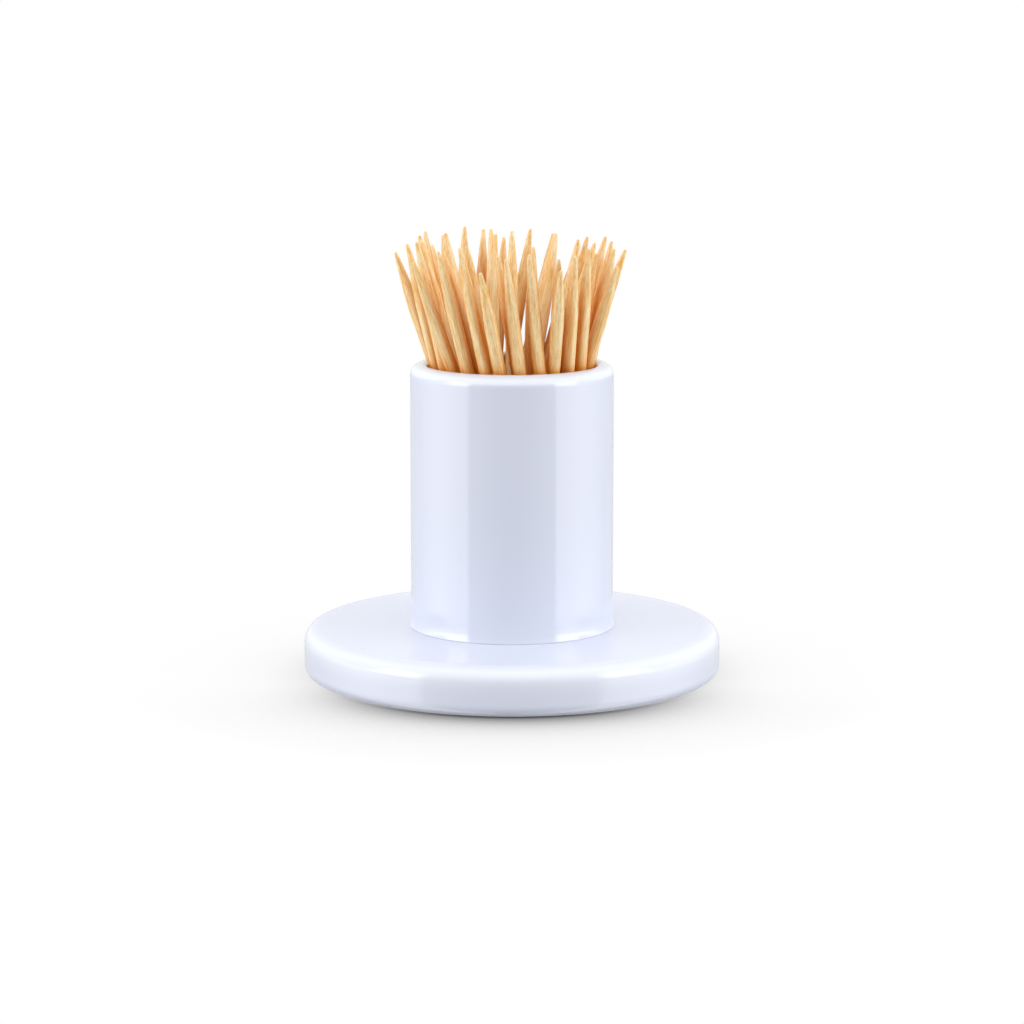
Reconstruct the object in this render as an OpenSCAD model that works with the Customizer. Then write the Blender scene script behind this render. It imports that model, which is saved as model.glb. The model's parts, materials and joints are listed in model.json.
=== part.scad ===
// Toothpick holder: a glazed ceramic cup set in a round base disc and filled
// with round wooden toothpicks that lean out over the rim.
// Millimetres, +Z up, origin on the table under the middle of the disc.

/* [Base disc] */
// Diameter of the disc
disc_d = 68; // [60:1:90]
// Height of the disc above the table
disc_h = 8; // [7:0.5:12]
// Radius of the disc's upper edge
disc_top_edge_r = 2.6; // [1:0.1:3]
// Radius of the disc's lower edge
disc_low_edge_r = 1.9; // [0.5:0.1:2.5]
// Width of the flat ring that the disc stands on
foot_ring_w = 6; // [3:0.5:10]
// Depth of the recess inside that ring
recess_h = 0.8; // [0.4:0.1:1.2]

/* [Cup] */
// Outer diameter of the cup
cup_d = 33; // [31:0.5:40]
// Height of the cup above the disc
cup_h = 43; // [36:1:55]
// Thickness of the cup's wall
cup_wall = 2.8; // [2:0.1:3.2]
// Thickness of the cup's floor
cup_floor_t = 4; // [3:0.5:6]
// Radius of the corner between the wall and the floor inside
cup_corner_r = 0.6; // [0.3:0.1:1]
// Radius of the cup's lower outer edge, which leaves a fine groove at the seam
seam_edge_r = 0.35; // [0.2:0.05:0.6]

/* [Joint of cup and disc] */
// Width of the shoulder by which the cup rests on the disc
shoulder_w = 3.2; // [2:0.2:5]
// Height of the spigot under the shoulder
spigot_h = 4; // [2:0.5:5]
// Clearance round and under the spigot
bond_gap = 0.15; // [0.1:0.05:0.3]

/* [Toothpicks] */
// Length of the longest toothpick
pick_l = 65; // [60:0.5:75]
// How much shorter the shortest toothpick is
pick_l_spread = 1; // [0:0.1:2]
// Diameter of a toothpick
pick_d = 2.1; // [1.7:0.05:2.2]
// Diameter of its blunt tips
pick_tip_d = 0.54; // [0.3:0.02:0.8]
// Length of the taper at each end
pick_taper_l = 10; // [6:0.5:14]
// How far the whole bunch leans to the front, in degrees
bunch_lean = 2.5; // [0:0.5:3]
// How far the whole bunch is turned in the cup, in degrees
bunch_turn = 22; // [0:1:39]
// Clearance under each toothpick
pick_floor_gap = 0.1; // [0.05:0.05:0.3]
// Clearance between the outer toothpicks and the cup's wall, at the rim
pick_wall_gap = 0.35; // [0.2:0.05:0.6]
// Least clearance between two toothpicks
pick_gap = 0.06; // [0.02:0.01:0.08]

/* [Hidden] */
// The toothpicks stand in rows. A row's picks are spread evenly round the cup,
// and each leans from a place on the floor to a place level with the rim. The
// places are shares of the reach, which is the largest radius that clears the
// wall. The twist is the angle from the rim's place back to the floor's, in
// degrees.
row_counts = [9, 9, 9, 9, 6, 1];
row_rim_shares = [1, 1, 1, 0.8, 0.55, 0];
row_floor_shares = [0.5, 0.7, 0.55, 0.65, 0.25, 0];
row_twists = [110, 50, 60, 80, 110, 0];
// Each row turns back from the row before it, by one step at a time, until its
// first pick clears the picks before it by the nesting gap.
turn_step = 1;
nest_gap = 0.07;

// The shares of a pick's length spread are taken in golden-section steps, so
// that long and short picks are mixed.
golden_share = 0.618;
// Of the wall's thickness, how much the rim's outer rounding takes
rim_outer_share = 0.7;
// How full the taper is: 1 is a straight cone
taper_power = 1.4;

ceramic_sides = 120;
pick_sides = 24;
edge_steps = 8;
corner_steps = 4;
tip_steps = 2;
taper_steps = 4;
// Number of places along a pick where its clearance is measured
gap_steps = 50;

ceramic_colour = [0.91, 0.93, 0.98];
pick_colour = [0.95, 0.83, 0.66];

disc_r = disc_d / 2;
cup_r = cup_d / 2;
bore_r = cup_r - cup_wall;
rim_outer_r = cup_wall * rim_outer_share;
rim_inner_r = cup_wall - rim_outer_r;
rim_z = disc_h + cup_h;
spigot_r = cup_r - shoulder_w;
spigot_z = disc_h - spigot_h;
socket_r = spigot_r + bond_gap;
socket_z = spigot_z - bond_gap;
cup_floor_z = spigot_z + cup_floor_t;
recess_r = disc_r - disc_low_edge_r - foot_ring_w;

pick_r = pick_d / 2;
tip_r = pick_tip_d / 2;
pick_foot_z = cup_floor_z + pick_floor_gap + tip_r;
pick_rim_z = rim_z - rim_inner_r;
pick_reach = bore_r - pick_wall_gap - pick_r;
bunch_shift = (pick_rim_z - pick_foot_z) * tan(bunch_lean);

// Points of a quarter round about [x, y], from angle a to angle b
function arc(x, y, r, a, b, steps) =
    [for (i = [0 : steps]) let (t = a + (b - a) * i / steps) [x + r * cos(t), y + r * sin(t)]];

function ring_place(r, angle, z) = [r * cos(angle), r * sin(angle), z];

// A pick's line: [lower end, direction, length]
function pick_line(row, i, turn) =
    let (
        angle = 360 / row_counts[row] * i + turn,
        rim = ring_place(row_rim_shares[row] * pick_reach, angle, pick_rim_z),
        floor_r = row_floor_shares[row] * pick_reach,
        foot = ring_place(floor_r, angle + row_twists[row], pick_foot_z) + [0, bunch_shift, 0],
        direction = (rim - foot) / norm(rim - foot),
        turns = i * golden_share + row * golden_share / 2,
        shortening = pick_l_spread * (turns - floor(turns))
    )
    [foot - tip_r * direction, direction, pick_l - shortening];

function row_lines(row, turn) = [for (i = [0 : row_counts[row] - 1]) pick_line(row, i, turn)];

// A pick's radius at the distance s from its nearer end
function radius_at(s) =
    let (k = min(1, max(0, s) / pick_taper_l))
    tip_r + (pick_r - tip_r) * (1 - pow(1 - k, taper_power));

// The least clearance between two picks. The first is taken at its full
// thickness above its lower taper, as its shaft passes there when it is drawn out.
function clearance(p, q) =
    min([for (i = [0 : gap_steps])
        let (
            s = p[2] * i / gap_steps,
            place = p[0] + s * p[1],
            t = max(0, min(q[2], (place - q[0]) * q[1]))
        )
        norm(place - q[0] - t * q[1]) - radius_at(s) - radius_at(min(t, q[2] - t))]);

function all_clear(mine, others, gap) =
    len([for (p = mine, q = others) if (p != q && clearance(p, q) < gap) 1]) == 0;

// The turn at which a row's first pick clears the picks before it
function nest_turn(row, turn, lines, tries) =
    tries == 0 || all_clear([pick_line(row, 0, turn)], lines, nest_gap) ? turn :
    nest_turn(row, turn - turn_step, lines, tries - 1);

// The bunch takes each row that clears the rows before it
function bunch(row = 0, turn = bunch_turn, lines = []) =
    row == len(row_counts) ? lines :
    let (
        nested = nest_turn(row, turn, lines, floor(360 / row_counts[row] / turn_step)),
        mine = row_lines(row, nested),
        fuller = concat(lines, mine)
    )
    bunch(row + 1, nested, all_clear(mine, fuller, pick_gap) ? fuller : lines);

picks = bunch();
pick_names = [for (i = [1 : len(picks)]) str("toothpick_", i < 10 ? "0" : "", i)];

module turned(profile, sides) {
    rotate_extrude($fn = sides) polygon(profile);
}

// The cup with its floor, and the spigot under its shoulder
module cup() {
    profile = concat(
        [[0, spigot_z], [spigot_r, spigot_z], [spigot_r, disc_h]],
        arc(cup_r - seam_edge_r, disc_h + seam_edge_r, seam_edge_r, -90, 0, corner_steps),
        arc(cup_r - rim_outer_r, rim_z - rim_outer_r, rim_outer_r, 0, 90, edge_steps),
        arc(bore_r + rim_inner_r, rim_z - rim_inner_r, rim_inner_r, 90, 180, edge_steps),
        arc(bore_r - cup_corner_r, cup_floor_z + cup_corner_r, cup_corner_r, 0, -90, corner_steps),
        [[0, cup_floor_z]]
    );
    color(ceramic_colour) turned(profile, ceramic_sides);
}

// The disc with the socket for the spigot, and the ring that it stands on
module base_disc() {
    profile = concat(
        [[0, recess_h], [recess_r - recess_h, recess_h], [recess_r, 0]],
        arc(disc_r - disc_low_edge_r, disc_low_edge_r, disc_low_edge_r, -90, 0, edge_steps),
        arc(disc_r - disc_top_edge_r, disc_h - disc_top_edge_r, disc_top_edge_r, 0, 90, edge_steps),
        [[socket_r, disc_h], [socket_r, socket_z], [0, socket_z]]
    );
    color(ceramic_colour) turned(profile, ceramic_sides);
}

// Half of a pick's profile, from its lower tip: [radius, distance]
function taper_points() = concat(
    [for (i = [0 : tip_steps]) let (a = 90 * i / tip_steps) [tip_r * sin(a), tip_r * (1 - cos(a))]],
    [for (i = [1 : taper_steps]) let (s = tip_r + (pick_taper_l - tip_r) * i / taper_steps)
        [radius_at(s), s]]
);

// One toothpick, round and tapered to a blunt tip at both ends
module toothpick(line) {
    lower = taper_points();
    last = len(lower) - 1;
    upper = [for (i = [last : -1 : 0]) [lower[i][0], line[2] - lower[i][1]]];
    lean = acos(line[1][2]);
    way = atan2(line[1][1], line[1][0]);
    color(pick_colour)
        translate(line[0]) rotate([0, lean, way]) turned(concat(lower, upper), pick_sides);
}

cup();
base_disc();
for (i = [0 : len(picks) - 1])
    toothpick(picks[i]);
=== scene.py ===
"""Toothpick holder: a glazed cup set in a round disc and filled with round wooden toothpicks."""
import json
import math
import random

import bpy
from mathutils import Color, Matrix, Vector


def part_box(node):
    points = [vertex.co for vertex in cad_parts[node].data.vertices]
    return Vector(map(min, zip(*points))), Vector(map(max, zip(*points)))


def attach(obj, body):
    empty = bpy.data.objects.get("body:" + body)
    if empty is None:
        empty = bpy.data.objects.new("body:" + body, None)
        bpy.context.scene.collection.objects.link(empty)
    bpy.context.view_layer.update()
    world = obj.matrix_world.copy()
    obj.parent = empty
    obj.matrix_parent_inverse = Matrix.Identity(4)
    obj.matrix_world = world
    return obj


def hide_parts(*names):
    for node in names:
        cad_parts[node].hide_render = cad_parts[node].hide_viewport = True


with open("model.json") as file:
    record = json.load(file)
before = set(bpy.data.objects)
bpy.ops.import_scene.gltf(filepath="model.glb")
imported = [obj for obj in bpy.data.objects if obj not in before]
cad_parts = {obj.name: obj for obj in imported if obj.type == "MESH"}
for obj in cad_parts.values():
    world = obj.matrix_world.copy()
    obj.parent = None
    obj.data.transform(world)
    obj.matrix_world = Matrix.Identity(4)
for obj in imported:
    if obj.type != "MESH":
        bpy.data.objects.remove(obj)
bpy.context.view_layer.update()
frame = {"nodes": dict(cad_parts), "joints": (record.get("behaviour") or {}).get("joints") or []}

MM = 0.001
FULL_TURN = 2 * math.pi
QUARTER_TURN = math.pi / 2

# Sizes that the frame gives
CUP_LOW, CUP_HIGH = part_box("cup")
DISC_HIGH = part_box("base_disc")[1]
CUP_R = CUP_HIGH.x
RIM_Z = CUP_HIGH.z
SPIGOT_Z = CUP_LOW.z
DISC_R = DISC_HIGH.x
DISC_TOP = DISC_HIGH.z

# Sizes of the two ceramic pieces, as the solids have them
DISC_TOP_EDGE_R = 2.6 * MM
DISC_LOW_EDGE_R = 1.9 * MM
FOOT_RING_W = 6 * MM
RECESS_H = 0.8 * MM
CUP_WALL = 2.8 * MM
RIM_OUTER_SHARE = 0.7
CUP_FLOOR_T = 4 * MM
CUP_CORNER_R = 0.6 * MM
SHOULDER_W = 3.2 * MM
BOND_GAP = 0.15 * MM
BORE_R = CUP_R - CUP_WALL
SPIGOT_R = CUP_R - SHOULDER_W
CUP_FLOOR_Z = SPIGOT_Z + CUP_FLOOR_T
# The glaze runs out a little at the cup's foot, above a fine groove at the seam
FOOT_FLARE_W = 0.3 * MM
FOOT_FLARE_H = 2.2 * MM
SEAM_EDGE_R = 0.08 * MM
# How hollow that flare is: 1 is a straight cone
FLARE_POWER = 2

# Sizes of a toothpick, as the solids have them
PICK_R = 1.05 * MM
PICK_TIP_R = 0.27 * MM
PICK_TAPER_L = 10 * MM
TAPER_POWER = 1.4
# The longest pick, from which the shorter ones are cut
PICK_L = 65 * MM


# Turned meshes

# Sides of a ceramic piece, and steps of its roundings and of the flare at its foot
TURNED_SIDES = 160
EDGE_STEPS = 14
CORNER_STEPS = 6
FLARE_STEPS = 16
# A narrow flat beside each rounding, which keeps the shading of the long walls even
EASE = 0.25 * MM
# The plane that is merged to a profile's first point
START_SIZE = 1 * MM
# Points nearer than this become one
MERGE_REACH = 0.001 * MM
# Faces that meet at less than this angle are shaded smooth
SMOOTH_ANGLE = math.radians(35)


def deselect():
    if bpy.context.object and bpy.context.object.mode != "OBJECT":
        bpy.ops.object.mode_set(mode="OBJECT")
    bpy.ops.object.select_all(action="DESELECT")


def choose(piece):
    deselect()
    piece.select_set(True)
    bpy.context.view_layer.objects.active = piece


def arc(x, z, r, start, end, steps):
    """Points of a rounding about (x, z), from one angle to another, in degrees."""
    turns = [math.radians(start + (end - start) * i / steps) for i in range(steps + 1)]
    return [(x + r * math.cos(t), z + r * math.sin(t)) for t in turns]


def turn(name, profile, sides):
    """Turns a profile of (radius, height) points round +Z, as a potter's wheel does."""
    deselect()
    bpy.ops.mesh.primitive_plane_add(size=START_SIZE)
    piece = bpy.context.object
    piece.name = name
    bpy.ops.object.mode_set(mode="EDIT")
    bpy.ops.mesh.merge(type="CENTER")
    bpy.ops.transform.translate(value=(profile[0][0], 0, profile[0][1]))
    for (r, z), (next_r, next_z) in zip(profile, profile[1:]):
        bpy.ops.mesh.extrude_vertices_move(
            TRANSFORM_OT_translate={"value": (next_r - r, 0, next_z - z)})
    bpy.ops.mesh.select_all(action="SELECT")
    bpy.ops.mesh.spin(steps=sides, angle=FULL_TURN, center=(0, 0, 0), axis=(0, 0, 1))
    bpy.ops.mesh.select_all(action="SELECT")
    bpy.ops.mesh.remove_doubles(threshold=MERGE_REACH)
    bpy.ops.mesh.normals_make_consistent(inside=False)
    bpy.ops.object.mode_set(mode="OBJECT")
    bpy.ops.object.shade_smooth_by_angle(angle=SMOOTH_ANGLE)
    return piece


# Camera

# Its place, tilt and lens are those that fit the photograph's perspective
CAMERA_BACK = 557.4 * MM
CAMERA_UP = 125.2 * MM
CAMERA_TILT = math.radians(10.04)
LENS_MM = 122.1
SENSOR_MM = 36
CLIP_START = 10 * MM
CLIP_END = 50


def add_camera():
    bpy.ops.object.camera_add(location=(0, -CAMERA_BACK, CAMERA_UP),
                              rotation=(QUARTER_TURN - CAMERA_TILT, 0, 0))
    camera = bpy.context.object
    camera.data.sensor_width = SENSOR_MM
    camera.data.lens = LENS_MM
    camera.data.clip_start = CLIP_START
    camera.data.clip_end = CLIP_END
    bpy.context.scene.camera = camera


# Colours and nodes

BYTE = 255


def srgb(red, green, blue):
    """A colour as the eye reads it, from 0 to 255, turned to the renderer's own scale."""
    seen = Color((red / BYTE, green / BYTE, blue / BYTE))
    return (*seen.from_srgb_to_scene_linear(), 1)


def give(socket, value):
    """Gives an input socket its value, which is another node's output or a plain one."""
    if isinstance(value, bpy.types.NodeSocket):
        socket.id_data.links.new(value, socket)
    else:
        socket.default_value = value


def feed(node, **inputs):
    """Gives a node's inputs their values by name, with _ for a space."""
    for name, value in inputs.items():
        give(node.inputs[name.replace("_", " ")], value)
    return node


def feed_in_order(node, *values):
    """Gives a node's inputs their values from the first on, where names repeat."""
    for socket, value in zip(node.inputs, values):
        give(socket, value)
    return node


def add_node(tree, kind, **settings):
    node = tree.nodes.new(kind)
    for key, value in settings.items():
        setattr(node, key, value)
    return node


def calculate(tree, operation, *terms):
    return feed_in_order(add_node(tree, "ShaderNodeMath", operation=operation), *terms).outputs[0]


def xyz(tree, vector):
    """The X, Y and Z of a place or a direction."""
    return feed(add_node(tree, "ShaderNodeSeparateXYZ"), Vector=vector).outputs


def rise(tree, value, start, end, how="SMOOTHSTEP", **levels):
    """A level that goes from 0 to 1, or between other levels, as a value goes from start to end."""
    node = add_node(tree, "ShaderNodeMapRange", interpolation_type=how)
    return feed(node, Value=value, From_Min=start, From_Max=end, **levels).outputs["Result"]


def blend_levels(tree, share, low, high):
    node = add_node(tree, "ShaderNodeMix", data_type="FLOAT")
    return feed(node, Factor=share, A=low, B=high).outputs["Result"]


def blend_colours(tree, how, share, first, second):
    node = add_node(tree, "ShaderNodeMix", data_type="RGBA", blend_type=how)
    return feed(node, Factor=share, A=first, B=second).outputs["Result"]


def noise(tree, place, **looks):
    """A cloudy pattern about a level of 0.5."""
    return feed(add_node(tree, "ShaderNodeTexNoise"), Vector=place, **looks).outputs["Fac"]


def bump(tree, height, looks, invert=False):
    node = add_node(tree, "ShaderNodeBump", invert=invert)
    return feed(node, Height=height, **looks).outputs["Normal"]


def openness(tree, reach, samples):
    """1 where a surface stands free, falling towards 0 where others are within reach."""
    node = add_node(tree, "ShaderNodeAmbientOcclusion", samples=samples)
    return feed(node, Distance=reach).outputs["AO"]


def new_material(name):
    material = bpy.data.materials.new(name)
    material.use_nodes = True
    tree = material.node_tree
    return material, tree, tree.nodes["Principled BSDF"]


def new_group(name, places, numbers, results):
    """An effect for several materials: its tree, its named inputs and the node of its results."""
    tree = bpy.data.node_groups.new(name, "ShaderNodeTree")
    for kind, labels in (("NodeSocketVector", places), ("NodeSocketFloat", numbers)):
        for label in labels:
            tree.interface.new_socket(label, in_out="INPUT", socket_type=kind)
    for label in results:
        tree.interface.new_socket(label, in_out="OUTPUT", socket_type="NodeSocketFloat")
    return tree, tree.nodes.new("NodeGroupInput").outputs, tree.nodes.new("NodeGroupOutput")


def use_group(tree, group, **inputs):
    return feed(add_node(tree, "ShaderNodeGroup", node_tree=group), **inputs).outputs


# Uneven surface of ceramic, for the glaze and the bare ring

WAVE_NOISE = {"Detail": 2, "Roughness": 0.4}
GRAIN_NOISE = {"Detail": 3, "Roughness": 0.6}
NOISE_MIDDLE = 0.5


def make_uneven_group():
    """Slow waves and fine grain in a surface: a height for bumps and a tone about 1."""
    tree, given, made = new_group(
        "uneven surface", ["Place"], ["Wave scale", "Grain scale", "Grain share", "Tone spread"],
        ["Height", "Tone"])
    waves = noise(tree, given["Place"], Scale=given["Wave scale"], **WAVE_NOISE)
    grain = noise(tree, given["Place"], Scale=given["Grain scale"], **GRAIN_NOISE)
    from_middle = calculate(tree, "SUBTRACT", waves, NOISE_MIDDLE)
    feed(made, Height=calculate(tree, "MULTIPLY_ADD", grain, given["Grain share"], waves),
         Tone=calculate(tree, "MULTIPLY_ADD", from_middle, given["Tone spread"], 1))
    return tree


# Glaze

GLAZE_COLOUR = srgb(217, 222, 237)
# The whiter colour of a painted highlight, laid on the rounded upper edges
GLAZE_HIGHLIGHT_COLOUR = srgb(233, 238, 248)
GLAZE_IOR = 1.5
GLAZE_WAVES = {"Wave_scale": 45, "Grain_scale": 900, "Grain_share": 0.06, "Tone_spread": 0.05}
GLAZE_BUMP = {"Strength": 0.25, "Distance": 0.12 * MM}
CUP_ROUGHNESS = 0.1
DISC_ROUGHNESS = 0.15
# Where the painted highlight on the rounded upper edges begins: on the cup by the upward share
# of the normal, and on the thick disc by the height, so that the disc's wall is painted lighter towards
# its top
CUP_HIGHLIGHT_PLACE = {"begins_by": "Normal", "start": 0.15, "end": 0.4}
DISC_HIGHLIGHT_PLACE = {"begins_by": "Object", "start": 3 * MM, "end": 7.6 * MM}
# The upward share of the normal at which the painted highlight gives way to a flat top, and is gone
HIGHLIGHT_FADE = 0.6
HIGHLIGHT_GONE = 0.96


def painted_highlight_mask(tree, place, begins_by, start, end):
    """Mask of a painted highlight: 1 on a rounded upper edge, and 0 on a flat top and on the wall below.
    """
    begun = rise(tree, xyz(tree, place[begins_by])["Z"], start, end)
    upward = xyz(tree, place["Normal"])["Z"]
    ended = rise(tree, upward, HIGHLIGHT_FADE, HIGHLIGHT_GONE, To_Min=1, To_Max=0)
    return calculate(tree, "MULTIPLY", begun, ended)


def glaze_material(uneven, name, roughness, edge):
    """Cool glaze with a faint pooling of tone, and a painted highlight, whiter, on its rounded upper
    edges.
    """
    material, tree, shader = new_material(name)
    place = add_node(tree, "ShaderNodeTexCoord").outputs
    waves = use_group(tree, uneven, Place=place["Object"], **GLAZE_WAVES)
    # The rounded upper edges get a painted highlight in the base colour
    highlighted = blend_colours(tree, "MIX", painted_highlight_mask(tree, place, **edge), GLAZE_COLOUR, GLAZE_HIGHLIGHT_COLOUR)
    feed(shader, Base_Color=blend_colours(tree, "MULTIPLY", 1, highlighted, waves["Tone"]),
         Roughness=roughness, IOR=GLAZE_IOR, Normal=bump(tree, waves["Height"], GLAZE_BUMP))
    return material


# Bare ceramic

BARE_COLOUR = srgb(222, 220, 214)
BARE_ROUGHNESS = 0.85
BARE_WAVES = {"Wave_scale": 160, "Grain_scale": 4000, "Grain_share": 0.5, "Tone_spread": 0.18}
BARE_BUMP = {"Strength": 0.5, "Distance": 0.05 * MM}


def bare_ceramic_material(uneven):
    """The dry, unglazed ring under the disc, a little worn and grey."""
    material, tree, shader = new_material("unglazed foot ring")
    place = add_node(tree, "ShaderNodeTexCoord").outputs
    waves = use_group(tree, uneven, Place=place["Object"], **BARE_WAVES)
    feed(shader, Base_Color=blend_colours(tree, "MULTIPLY", 1, BARE_COLOUR, waves["Tone"]),
         Roughness=BARE_ROUGHNESS, Normal=bump(tree, waves["Height"], BARE_BUMP))
    return material


# Birch wood

# Where a point lies on its own toothpick, in millimetres, with the pick upright
GRAIN_PLACE = "grain_place"
# How far each pick's place is moved along, so that no two have the same grain
GRAIN_STEP_MM = 100
# The fibres are narrow across a pick and long along it
FIBRES = {"Across": 2.0, "Along": 0.1}
STREAK_NOISE = {"Scale": 1, "Detail": 3, "Roughness": 0.55}
LINE_NOISE = {"Scale": 4.5, "Detail": 4, "Roughness": 0.65}
PORE_NOISE = {"Scale": 7, "Detail": 2, "Roughness": 0.5}
# The levels of their noise from which lines and pores show, and at which they are full
LINE_START = 0.45
LINE_FULL = 0.7
PORE_START = 0.62
PORE_FULL = 0.74
# How much a full pore tints and dents the wood, where a full line has 1
PORE_DEPTH = 0.7
# The level of the streaks at which each tone of the wood is pure
DARK_LEVEL = 0.3
MIDDLE_LEVEL = 0.47
PALE_LEVEL = 0.68
DARK_WOOD = srgb(242, 188, 104)
MIDDLE_WOOD = srgb(255, 225, 166)
PALE_WOOD = srgb(255, 241, 202)
LINE_TINT = srgb(238, 203, 138)
PORE_TINT = srgb(226, 178, 106)
# The painted shade, a deep orange, laid in the gaps between the sticks
GAP_SHADE_TINT = srgb(234, 168, 34)
# How near another stick must be for the painted shade, a deep orange, in the gaps, and how open
# a place is in a deep gap and where the wood stands free
GAP_REACH = 5 * MM
GAP_CLOSED = 0.25
GAP_OPEN = 0.95
GAP_SAMPLES = 8
WOOD_BUMP = {"Strength": 0.6, "Distance": 0.05 * MM}
WOOD_FINISH = {"Roughness": 0.45, "IOR": 1.45, "Specular_IOR_Level": 0.6}


def make_fibre_group():
    """Long fibres along a stick of wood: masks of broad streaks, of fine lines and of pores."""
    tree, given, made = new_group(
        "wood fibres", ["Place"], ["Across", "Along"], ["Streaks", "Lines", "Pores"])
    stretch = feed(add_node(tree, "ShaderNodeCombineXYZ"),
                   X=given["Across"], Y=given["Across"], Z=given["Along"]).outputs["Vector"]
    squeezed = add_node(tree, "ShaderNodeVectorMath", operation="MULTIPLY")
    place = feed_in_order(squeezed, given["Place"], stretch).outputs["Vector"]
    lines = noise(tree, place, **LINE_NOISE)
    pores = noise(tree, place, **PORE_NOISE)
    feed(made, Streaks=noise(tree, place, **STREAK_NOISE),
         Lines=rise(tree, lines, LINE_START, LINE_FULL, "LINEAR"),
         Pores=rise(tree, pores, PORE_START, PORE_FULL, "LINEAR", To_Max=PORE_DEPTH))
    return tree


def streaked_wood(tree, streaks):
    ramp = feed(add_node(tree, "ShaderNodeValToRGB"), Fac=streaks)
    tones = ramp.color_ramp.elements
    tones[0].position = DARK_LEVEL
    tones[0].color = DARK_WOOD
    tones[1].position = PALE_LEVEL
    tones[1].color = PALE_WOOD
    tones.new(MIDDLE_LEVEL).color = MIDDLE_WOOD
    return ramp.outputs["Color"]


def painted_gap_shade_mask(tree):
    """Mask of the painted shade: 0 on wood that stands free, rising to 1 in the narrow gaps between two
    sticks.
    """
    free = openness(tree, GAP_REACH, GAP_SAMPLES)
    return rise(tree, free, GAP_CLOSED, GAP_OPEN, "LINEAR", To_Min=1, To_Max=0)


def wood_material(fibres):
    """Pale birch with a lengthwise grain, warmer in its streaks and its pores, and with painted shade,
    deep orange, in the gaps between sticks.
    """
    material, tree, shader = new_material("birch wood")
    place = add_node(tree, "ShaderNodeAttribute", attribute_name=GRAIN_PLACE).outputs["Vector"]
    grain = use_group(tree, fibres, Place=place, **FIBRES)
    streaked = streaked_wood(tree, grain["Streaks"])
    lined = blend_colours(tree, "MULTIPLY", grain["Lines"], streaked, LINE_TINT)
    pored = blend_colours(tree, "MULTIPLY", grain["Pores"], lined, PORE_TINT)
    # Painted shade, darker and more orange, in the gaps between sticks
    gap_shaded = blend_colours(tree, "MULTIPLY", painted_gap_shade_mask(tree), pored, GAP_SHADE_TINT)
    depth = calculate(tree, "ADD", grain["Lines"], grain["Pores"])
    feed(shader, Base_Color=gap_shaded, Normal=bump(tree, depth, WOOD_BUMP, invert=True), **WOOD_FINISH)
    return material


# Cup


def foot_flare():
    """Points of the hollow curve by which the glaze runs out from the wall to the disc."""
    foot_r = CUP_R + FOOT_FLARE_W
    foot_z = DISC_TOP + SEAM_EDGE_R
    groove = arc(foot_r - SEAM_EDGE_R, foot_z, SEAM_EDGE_R, -90, 0, CORNER_STEPS)
    heights = [i / FLARE_STEPS for i in range(1, FLARE_STEPS + 1)]
    return groove + [(CUP_R + FOOT_FLARE_W * (1 - h) ** FLARE_POWER, foot_z + FOOT_FLARE_H * h)
                     for h in heights]


def cup_profile():
    """Points from under the spigot, up the wall and over the rim, to the middle of the floor."""
    rim_outer = CUP_WALL * RIM_OUTER_SHARE
    rim_inner = CUP_WALL - rim_outer
    outer_z = RIM_Z - rim_outer
    inner_z = RIM_Z - rim_inner
    corner_r = BORE_R - CUP_CORNER_R
    corner_z = CUP_FLOOR_Z + CUP_CORNER_R
    # The two roundings of the rim share their top point, which is left out of the second
    return (
        [(0, SPIGOT_Z), (SPIGOT_R - EASE, SPIGOT_Z), (SPIGOT_R, SPIGOT_Z + EASE), (SPIGOT_R, DISC_TOP)]
        + foot_flare()
        + [(CUP_R, DISC_TOP + SEAM_EDGE_R + FOOT_FLARE_H + EASE), (CUP_R, outer_z - EASE)]
        + arc(CUP_R - rim_outer, outer_z, rim_outer, 0, 90, EDGE_STEPS)
        + arc(BORE_R + rim_inner, inner_z, rim_inner, 90, 180, EDGE_STEPS)[1:]
        + [(BORE_R, inner_z - EASE), (BORE_R, corner_z + EASE)]
        + arc(corner_r, corner_z, CUP_CORNER_R, 0, -90, CORNER_STEPS)
        + [(corner_r - EASE, CUP_FLOOR_Z), (0, CUP_FLOOR_Z)]
    )


def add_cup(glaze):
    cup = turn("glazed_cup", cup_profile(), TURNED_SIDES)
    cup.data.materials.append(glaze)
    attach(cup, "holder")
    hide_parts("cup")


# Base disc

# Low faces that look down by at least this share lie on the table
DOWNWARD_SHARE = 0.99


def disc_profile():
    """Points from the middle of the recess, round both edges, to the bottom of the socket."""
    low_r = DISC_R - DISC_LOW_EDGE_R
    top_r = DISC_R - DISC_TOP_EDGE_R
    top_z = DISC_TOP - DISC_TOP_EDGE_R
    recess_r = low_r - FOOT_RING_W
    socket_r = SPIGOT_R + BOND_GAP
    socket_z = SPIGOT_Z - BOND_GAP
    return (
        [(0, RECESS_H), (recess_r - RECESS_H - EASE, RECESS_H), (recess_r - RECESS_H, RECESS_H)]
        + [(recess_r, 0), (recess_r + EASE, 0), (low_r - EASE, 0)]
        + arc(low_r, DISC_LOW_EDGE_R, DISC_LOW_EDGE_R, -90, 0, EDGE_STEPS)
        + [(DISC_R, DISC_LOW_EDGE_R + EASE), (DISC_R, top_z - EASE)]
        + arc(top_r, top_z, DISC_TOP_EDGE_R, 0, 90, EDGE_STEPS)
        + [(top_r - EASE, DISC_TOP), (CUP_R, DISC_TOP), (socket_r, DISC_TOP)]
        + [(socket_r, socket_z), (0, socket_z)]
    )


def add_disc(glaze, bare):
    disc = turn("glazed_disc", disc_profile(), TURNED_SIDES)
    disc.data.materials.append(glaze)
    disc.data.materials.append(bare)
    for face in disc.data.polygons:
        on_table = face.center.z < EASE and face.normal.z < -DOWNWARD_SHARE
        face.material_index = 1 if on_table else 0
    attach(disc, "holder")
    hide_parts("base_disc")


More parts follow.
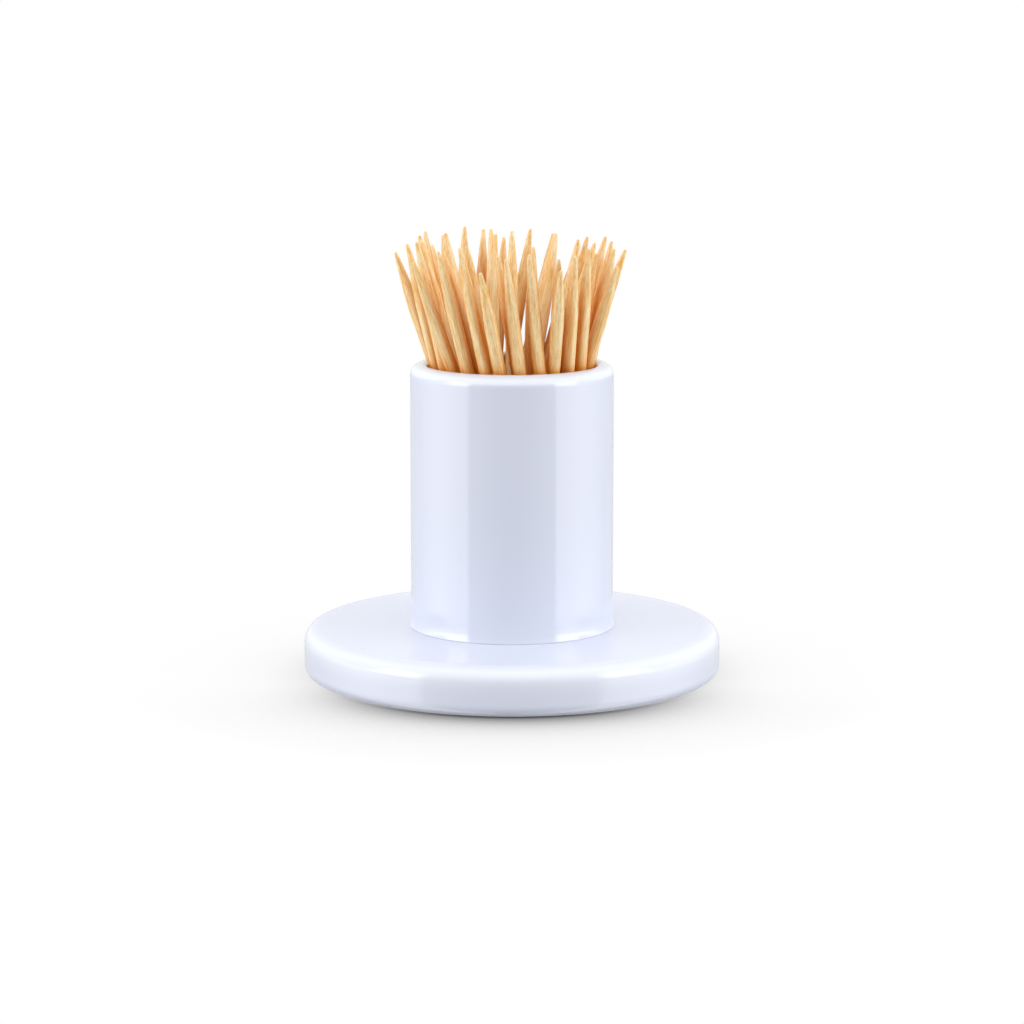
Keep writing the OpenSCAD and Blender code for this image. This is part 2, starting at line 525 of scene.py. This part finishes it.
# Toothpicks

PICK_SIDES = 32
TIP_STEPS = 4
TAPER_STEPS = 12
SHAFT_STEPS = 12
PICK_KINDS = 4
# How many of a pick's lengthwise lines are pressed in, and how deep
PRESSED_LINES = 10
PRESSED_DEPTH = 0.02 * MM
DICE_SEED = 7


def pick_radius(s):
    """A pick's radius at the distance s from its nearer end."""
    share = min(1, max(0, s / PICK_TAPER_L))
    return PICK_TIP_R + (PICK_R - PICK_TIP_R) * (1 - (1 - share) ** TAPER_POWER)


def pick_profile():
    """Points of an upright pick from its lower tip to its upper one."""
    tip = [(r, s + PICK_TIP_R) for r, s in arc(0, 0, PICK_TIP_R, -90, 0, TIP_STEPS)]
    taper = [PICK_TIP_R + (PICK_TAPER_L - PICK_TIP_R) * i / TAPER_STEPS
             for i in range(1, TAPER_STEPS + 1)]
    lower = tip + [(pick_radius(s), s) for s in taper]
    shaft_l = PICK_L - 2 * PICK_TAPER_L
    shaft = [(PICK_R, PICK_TAPER_L + shaft_l * i / SHAFT_STEPS) for i in range(1, SHAFT_STEPS)]
    upper = [(r, PICK_L - s) for r, s in reversed(lower)]
    return lower + shaft + upper


def carve_pick(pick, dice):
    """Presses some lengthwise lines of the pick in a little, as milling and open grain do."""
    choose(pick)
    bpy.ops.object.mode_set(mode="EDIT")
    bpy.ops.mesh.select_all(action="DESELECT")
    bpy.ops.object.mode_set(mode="OBJECT")
    pressed = set(dice.sample(range(PICK_SIDES), PRESSED_LINES))
    for vertex in pick.data.vertices:
        r = math.hypot(vertex.co.x, vertex.co.y)
        side = round(math.atan2(vertex.co.y, vertex.co.x) / FULL_TURN * PICK_SIDES) % PICK_SIDES
        vertex.select = r > PICK_TIP_R and side in pressed
    bpy.ops.object.mode_set(mode="EDIT")
    bpy.ops.transform.shrink_fatten(value=-PRESSED_DEPTH)
    bpy.ops.object.mode_set(mode="OBJECT")


def make_pick_kinds(dice):
    """The differently carved picks that all the others are copied from."""
    kinds = []
    for i in range(PICK_KINDS):
        pick = turn("pick_kind_%d" % i, pick_profile(), PICK_SIDES)
        carve_pick(pick, dice)
        kinds.append(pick)
    return kinds


def store_grain_place(mesh, number):
    places = mesh.attributes.new(GRAIN_PLACE, "FLOAT_VECTOR", "POINT")
    for vertex, place in zip(mesh.vertices, places.data):
        place.vector = vertex.co / MM + Vector((0, 0, GRAIN_STEP_MM * number))


def pick_line(joint):
    """The lower end, the direction and the length of the solid that a joint draws out."""
    node = frame["nodes"][joint["child"]]
    way = Vector(joint["axis"]).normalized()
    low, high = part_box(joint["child"])
    middle = (low + high) / 2
    along = [(node.matrix_world @ v.co - middle).dot(way) for v in node.data.vertices]
    return middle + min(along) * way, way, max(along) - min(along)


def add_pick(joint, number, kinds, wood, dice):
    """Stands a copy of a pick where its solid is, cut to that length and spun by the dice."""
    foot, way, length = pick_line(joint)
    pick = kinds[number % PICK_KINDS].copy()
    pick.data = pick.data.copy()
    pick.name = "wooden_pick_%02d" % (number + 1)
    bpy.context.collection.objects.link(pick)
    store_grain_place(pick.data, number)
    for vertex in pick.data.vertices:
        if vertex.co.z > PICK_L / 2:
            vertex.co.z += length - PICK_L
    spin = Matrix.Rotation(dice.random() * FULL_TURN, 4, "Z")
    stand = way.to_track_quat("Z", "Y").to_matrix().to_4x4()
    pick.data.transform(Matrix.Translation(foot) @ stand @ spin)
    pick.data.materials.append(wood)
    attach(pick, joint["child"])
    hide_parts(joint["child"])


def add_picks(wood):
    dice = random.Random(DICE_SEED)
    kinds = make_pick_kinds(dice)
    draws = [j for j in frame["joints"] if j["child"].startswith("toothpick_")]
    for number, joint in enumerate(draws):
        add_pick(joint, number, kinds, wood, dice)
    for kind in kinds:
        bpy.data.objects.remove(kind)


# Studio

WHITE = (1, 1, 1, 1)
WHITE_LIGHT = 1.0


def mirror_mask(tree):
    """Masks of the rays by which gloss and clear glass see the room, and of the camera's own."""
    ray = add_node(tree, "ShaderNodeLightPath").outputs
    mirrored = calculate(tree, "MAXIMUM", ray["Is Glossy Ray"], ray["Is Transmission Ray"])
    return mirrored, ray["Is Camera Ray"]


# Floor

FLOOR_R = 3.0
FLOOR_SIDES = 96
TABLE_COLOUR = (0.5, 0.5, 0.51, 1)
# How far from the disc the floor's shadow reaches, and how deep it is
SHADOW_REACH = 31 * MM
SHADOW_DEPTH = 2.2
SHADOW_SAMPLES = 16
# It has this share of its depth at the object's sides and behind it. From the side line
# forward it deepens, and from the front line on it is full
SIDE_SHADOW_SHARE = 0.2
SIDE_Y = -8 * MM
FRONT_Y = -38 * MM


def mix_shaders(tree, share, first, second):
    return feed_in_order(add_node(tree, "ShaderNodeMixShader"), share, first, second).outputs[0]


def floor_material():
    """White to the camera, with a soft shadow round the object, and a plain table to the light."""
    material, tree, _ = new_material("white floor")
    tree.nodes.clear()
    mirrored, by_camera = mirror_mask(tree)
    place = add_node(tree, "ShaderNodeTexCoord").outputs["Object"]
    strength = rise(tree, xyz(tree, place)["Y"], FRONT_Y, SIDE_Y, To_Min=1, To_Max=SIDE_SHADOW_SHARE)
    shade = calculate(tree, "POWER", openness(tree, SHADOW_REACH, SHADOW_SAMPLES), SHADOW_DEPTH)
    shadowed = blend_levels(tree, strength, WHITE_LIGHT, shade)
    white = feed(add_node(tree, "ShaderNodeEmission"), Color=WHITE, Strength=shadowed).outputs[0]
    table = feed(add_node(tree, "ShaderNodeBsdfDiffuse"), Color=TABLE_COLOUR).outputs[0]
    clear = add_node(tree, "ShaderNodeBsdfTransparent").outputs[0]
    unseen = mix_shaders(tree, mirrored, table, clear)
    feed(add_node(tree, "ShaderNodeOutputMaterial"), Surface=mix_shaders(tree, by_camera, unseen, white))
    return material


def add_floor():
    deselect()
    bpy.ops.mesh.primitive_circle_add(vertices=FLOOR_SIDES, radius=FLOOR_R, fill_type="NGON")
    floor = bpy.context.object
    floor.name = "studio_floor"
    floor.data.materials.append(floor_material())


# Light

# The room's light goes by the angle from the camera's side: dark behind the camera, then a
# softbox on either side, with a sharp front edge, then a dark flag, which draws the object's
# outline, and a backdrop behind the object, which is white in reflections
SOFTBOX_START = math.radians(50.5)
SOFTBOX_EDGE = math.radians(0.8)
SOFTBOX_END = math.radians(74)
FLAG_START = math.radians(132)
FLAG_END = math.radians(150)
BACKDROP_START = math.radians(160)
DARK_LIGHT = 0.0
BESIDE_LIGHT = 0.7
FLAG_LIGHT = 0.72
BACKDROP_LIGHT = 0.1
# The softboxes are strongest a little above the table, and weaken below its level
SOFTBOX_LIGHT = 4.1
SOFTBOX_LOW_LIGHT = 2.85
SOFTBOX_LOW = math.sin(math.radians(-1))
SOFTBOX_FULL = math.sin(math.radians(3))
# In reflections their tubes glint
GLINT_LIGHT = 6.5
# In reflections a pale card hides their back part and all behind it, but for a strip above the
# table, because flat glaze that mirrors them there would clip to white
CARD_START = math.radians(84)
CARD_LOW = math.sin(math.radians(4))
CARD_FULL = math.sin(math.radians(6))
CARD_LIGHT = 1.0
# Above them is an even ceiling
CEILING_START = math.sin(math.radians(14))
CEILING_FULL = math.sin(math.radians(44))
CEILING_LIGHT = 1.18


def angle_from_front(tree, way):
    """The angle of a direction from the camera's side, the same to the left and the right."""
    across = calculate(tree, "ABSOLUTE", way["X"])
    ahead = calculate(tree, "MULTIPLY", way["Y"], -1)
    return calculate(tree, "ARCTAN2", across, ahead)


def behind_light(tree, angle, raised, mirrored):
    """The flag and the backdrop, down to the table."""
    white = rise(tree, angle, FLAG_END, BACKDROP_START, To_Min=FLAG_LIGHT, To_Max=WHITE_LIGHT)
    seen = blend_levels(tree, raised, FLAG_LIGHT, white)
    return blend_levels(tree, mirrored, BACKDROP_LIGHT, seen)


def card_mask(tree, angle, height, mirrored):
    beside = rise(tree, angle, SOFTBOX_END, CARD_START)
    above = rise(tree, height, CARD_LOW, CARD_FULL)
    return calculate(tree, "MULTIPLY", calculate(tree, "MULTIPLY", beside, above), mirrored)


def side_light(tree, angle, height, mirrored):
    """The softboxes, and all that is behind them."""
    raised = rise(tree, height, SOFTBOX_LOW, SOFTBOX_FULL)
    tubes = blend_levels(tree, mirrored, SOFTBOX_LIGHT, GLINT_LIGHT)
    softbox = blend_levels(tree, raised, SOFTBOX_LOW_LIGHT, tubes)
    behind = behind_light(tree, angle, raised, mirrored)
    side = blend_levels(tree, rise(tree, angle, SOFTBOX_END, FLAG_START), softbox, behind)
    return blend_levels(tree, card_mask(tree, angle, height, mirrored), side, CARD_LIGHT)


def room_light(tree, mirrored):
    """The light that comes from each direction."""
    way = xyz(tree, add_node(tree, "ShaderNodeTexCoord").outputs["Generated"])
    angle = angle_from_front(tree, way)
    front = rise(tree, angle, 0, SOFTBOX_START, To_Min=DARK_LIGHT, To_Max=BESIDE_LIGHT)
    side = side_light(tree, angle, way["Z"], mirrored)
    edge = rise(tree, angle, SOFTBOX_START - SOFTBOX_EDGE, SOFTBOX_START + SOFTBOX_EDGE)
    wall = blend_levels(tree, edge, front, side)
    overhead = rise(tree, way["Z"], CEILING_START, CEILING_FULL)
    return blend_levels(tree, overhead, wall, CEILING_LIGHT)


def light_studio():
    world = bpy.data.worlds.new("studio")
    bpy.context.scene.world = world
    world.use_nodes = True
    tree = world.node_tree
    tree.nodes.clear()
    mirrored, by_camera = mirror_mask(tree)
    strength = blend_levels(tree, by_camera, room_light(tree, mirrored), WHITE_LIGHT)
    light = feed(add_node(tree, "ShaderNodeBackground"), Color=WHITE, Strength=strength)
    feed(add_node(tree, "ShaderNodeOutputWorld"), Surface=light.outputs[0])


# The whole scene


bpy.context.scene.view_settings.view_transform = "Standard"
add_camera()
light_studio()
add_floor()

uneven_surface = make_uneven_group()
wood_fibres = make_fibre_group()
cup_glaze = glaze_material(uneven_surface, "cool white glaze, cup", CUP_ROUGHNESS, CUP_HIGHLIGHT_PLACE)
disc_glaze = glaze_material(uneven_surface, "cool white glaze, disc", DISC_ROUGHNESS, DISC_HIGHLIGHT_PLACE)
bare_ceramic = bare_ceramic_material(uneven_surface)
birch = wood_material(wood_fibres)

add_cup(cup_glaze)
add_disc(disc_glaze, bare_ceramic)
add_picks(birch)
